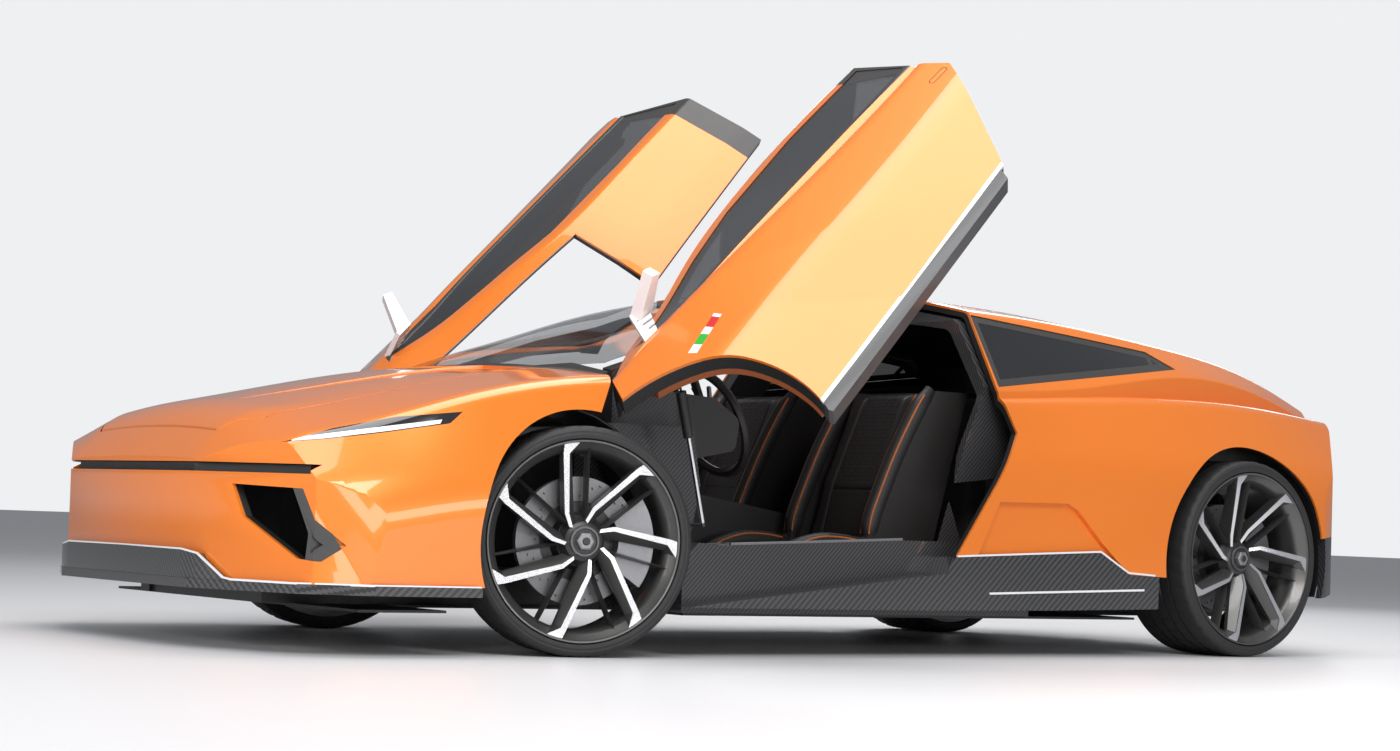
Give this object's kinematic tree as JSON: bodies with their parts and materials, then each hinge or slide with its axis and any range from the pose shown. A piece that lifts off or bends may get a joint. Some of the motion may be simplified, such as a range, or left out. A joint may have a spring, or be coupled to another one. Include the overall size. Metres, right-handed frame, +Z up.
{
  "type": "supercar",
  "caption": "Low two-seat supercar with doors that take half the roof and swing up on slanted hinges, steered front wheels, free-turning wheels, a bonnet lid and a leather cabin.",
  "frame": {"origin": "on the ground, under the middle of the car", "axes": "+X to the nose, +Y to the left, +Z up"},
  "size_m": [4.612, 2.817, 1.9562],
  "materials": {
    "paint": "metallic gloss",
    "carbon": "woven carbon, clear coat",
    "trim_black": "grained",
    "glass_dark": "tinted",
    "glass_clear": "clear",
    "lamp": "dark lens",
    "leather": "quilted",
    "tyre": "rubber",
    "rim": "machined",
    "disc": "drilled",
    "metal": "satin",
    "steel": "satin",
    "white": "gloss",
    "chrome": "polished"
  },
  "bodies": {
    "car": {"arch_liners": "trim_black", "console": "trim_black", "cowl": "trim_black", "dashboard": "trim_black", "diffuser": "carbon", "engine": "metal", "front_bumper": "paint", "front_subframe": "steel", "front_trunk": "trim_black", "front_wings": "paint", "headlamps": "lamp", "nose_grille": "trim_black", "quarter_glass": "glass_dark", "rear_clam": "paint", "rear_shelf": "leather", "rear_subframe": "steel", "seat_backs": "leather", "seat_cushions": "leather", "seat_shells": "leather", "side_intakes": "trim_black", "sill_covers": "carbon", "splitter": "carbon", "steering_column": "steel", "tail_lamp": "lamp", "tub": "carbon", "undertray": "trim_black", "upright_rear_left": "metal", "upright_rear_right": "metal", "windscreen": "glass_clear"},
    "door_left": {"door_glass_left": "glass_dark", "door_rocker_left": "carbon", "door_skin_left": "paint", "door_trim_left": "leather", "mirror_left": "white"},
    "strut_rod_left": {"strut_rod_left": "chrome"},
    "strut_tube_left": {"strut_tube_left": "trim_black"},
    "steer_left": {"upright_front_left": "metal"},
    "wheel_front_left": {"brake_disc_front_left": "disc", "rim_front_left": "rim", "tyre_front_left": "tyre"},
    "wheel_rear_left": {"brake_disc_rear_left": "disc", "rim_rear_left": "rim", "tyre_rear_left": "tyre"},
    "door_right": {"door_glass_right": "glass_dark", "door_rocker_right": "carbon", "door_skin_right": "paint", "door_trim_right": "leather", "mirror_right": "white"},
    "strut_rod_right": {"strut_rod_right": "chrome"},
    "strut_tube_right": {"strut_tube_right": "trim_black"},
    "steer_right": {"upright_front_right": "metal"},
    "wheel_front_right": {"brake_disc_front_right": "disc", "rim_front_right": "rim", "tyre_front_right": "tyre"},
    "wheel_rear_right": {"brake_disc_rear_right": "disc", "rim_rear_right": "rim", "tyre_rear_right": "tyre"},
    "bonnet": {"bonnet": "paint"},
    "steering_wheel": {"steering_wheel": "trim_black"}
  },
  "joints": [
    {"name": "door_left", "type": "hinge", "parent": "car", "child": "door_left", "pos_m": [0.96, 0.68, 0.89], "axis": [0.7451, 0.5767, -0.3351], "range_deg": [-67.45, 0]},
    {"name": "strut_pivot_left", "type": "hinge", "parent": "car", "child": "strut_rod_left", "pos_m": [0.742, 0.777, 0.399], "axis": [0.7513, 0.5716, -0.3298], "range_deg": [-0.5, 17.98]},
    {"name": "strut_slide_left", "type": "slide", "parent": "strut_rod_left", "child": "strut_tube_left", "axis": [0.3224, 0.1182, 0.9392], "range_m": [-0.1167, 0.002]},
    {"name": "steer_left", "type": "hinge", "parent": "car", "child": "steer_left", "pos_m": [1.222, 0.766, 0.34], "axis": [0, 0, 1], "range_deg": [-16.3, 47.7]},
    {"name": "wheel_front_left", "type": "hinge", "parent": "steer_left", "child": "wheel_front_left", "pos_m": [1.222, 0.766, 0.34], "axis": [0.2706, 0.9627, 0], "continuous": true},
    {"name": "wheel_rear_left", "type": "hinge", "parent": "car", "child": "wheel_rear_left", "pos_m": [-1.565, 0.8, 0.347], "axis": [0, 1, 0], "continuous": true},
    {"name": "door_right", "type": "hinge", "parent": "car", "child": "door_right", "pos_m": [0.96, -0.68, 0.89], "axis": [-0.7451, 0.5767, 0.3351], "range_deg": [-67.45, 0]},
    {"name": "strut_pivot_right", "type": "hinge", "parent": "car", "child": "strut_rod_right", "pos_m": [0.742, -0.777, 0.399], "axis": [-0.7513, 0.5716, 0.3298], "range_deg": [-0.5, 17.98]},
    {"name": "strut_slide_right", "type": "slide", "parent": "strut_rod_right", "child": "strut_tube_right", "axis": [0.3224, -0.1182, 0.9392], "range_m": [-0.1167, 0.002]},
    {"name": "steer_right", "type": "hinge", "parent": "car", "child": "steer_right", "pos_m": [1.222, -0.766, 0.34], "axis": [0, 0, 1], "range_deg": [-16.3, 47.7]},
    {"name": "wheel_front_right", "type": "hinge", "parent": "steer_right", "child": "wheel_front_right", "pos_m": [1.222, -0.766, 0.34], "axis": [0.2706, 0.9627, 0], "continuous": true},
    {"name": "wheel_rear_right", "type": "hinge", "parent": "car", "child": "wheel_rear_right", "pos_m": [-1.565, -0.8, 0.347], "axis": [0, 1, 0], "continuous": true},
    {"name": "steering_wheel", "type": "hinge", "parent": "car", "child": "steering_wheel", "pos_m": [0.43, 0.37, 0.735], "axis": [-0.9135, 0, 0.4067], "range_deg": [-229, 669]},
    {"name": "bonnet", "type": "hinge", "parent": "car", "child": "bonnet", "pos_m": [1.226, 0, 0.897], "axis": [0, -1, 0], "range_deg": [0, 55]}
  ],
  "couplings": [
    {"joint": "strut_pivot_left", "follows": "door_left", "ratio": -0.2591},
    {"joint": "strut_slide_left", "follows": "door_left", "m_per_rad": 0.097472},
    {"joint": "strut_pivot_right", "follows": "door_right", "ratio": -0.2591},
    {"joint": "strut_slide_right", "follows": "door_right", "m_per_rad": 0.097472},
    {"joint": "steer_right", "follows": "steer_left", "ratio": 1},
    {"joint": "steering_wheel", "follows": "steer_left", "ratio": 14}
  ]
}
